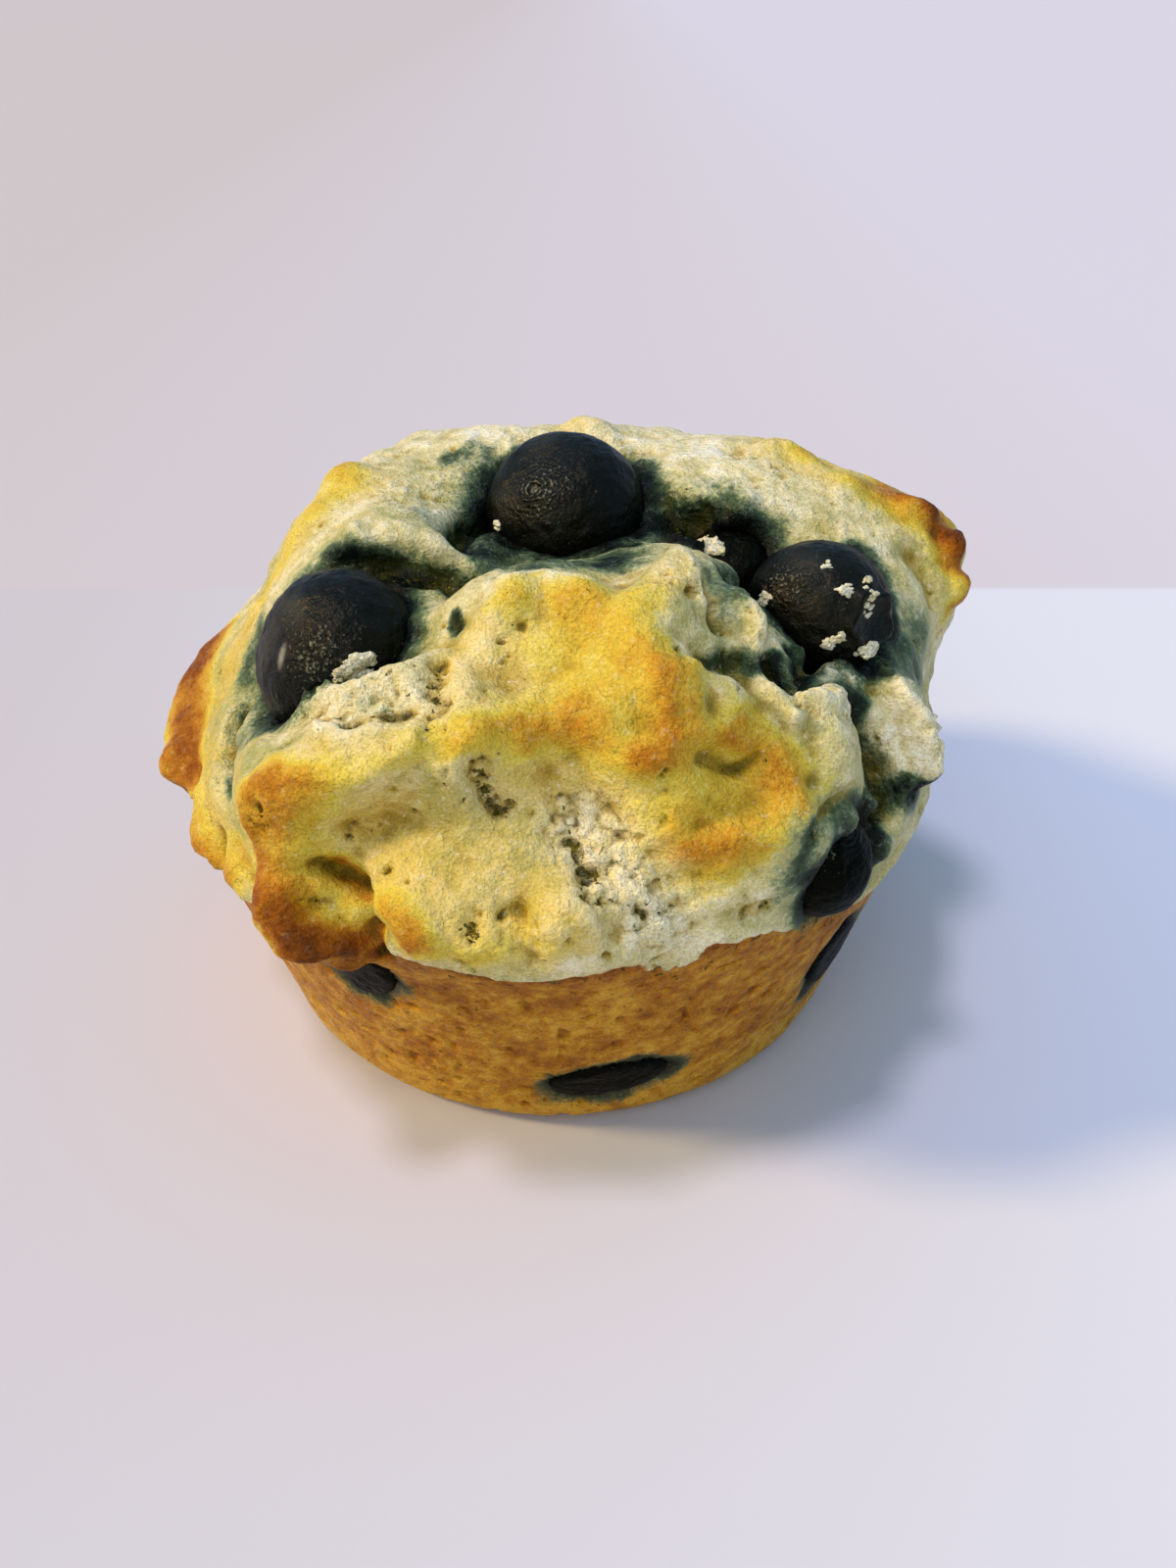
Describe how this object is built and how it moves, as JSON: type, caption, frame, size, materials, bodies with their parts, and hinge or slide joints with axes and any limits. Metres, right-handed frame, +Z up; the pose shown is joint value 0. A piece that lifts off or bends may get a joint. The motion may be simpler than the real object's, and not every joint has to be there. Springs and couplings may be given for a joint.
{
  "type": "blueberry muffin",
  "caption": "Round baked muffin with a tapered tin-shaped cup under a lumpy, split and browned crown, blueberries bulging from crown and wall; rests on its flat foot.",
  "frame": {"origin": "centre of the flat foot", "axes": "+Z up, through the middle of the cup; -Y faces the side with the golden ridges, +X the side the crown leans to"},
  "size_m": [0.0668, 0.0677, 0.0471],
  "materials": {
    "crust": "matt baked crumb, golden brown where it browned and pale yellow-green between",
    "berry_skin": "taut to wrinkled blue-black skin with a soft gloss"
  },
  "bodies": {
    "root": {"muffin": "crust", "berry_crown": "berry_skin", "berry_left": "berry_skin", "berry_right": "berry_skin", "berry_tucked": "berry_skin", "berry_rim": "berry_skin", "berry_foot": "berry_skin", "berry_lip": "berry_skin", "berry_flank": "berry_skin", "berry_heel": "berry_skin", "berry_back": "berry_skin"}
  },
  "joints": []
}
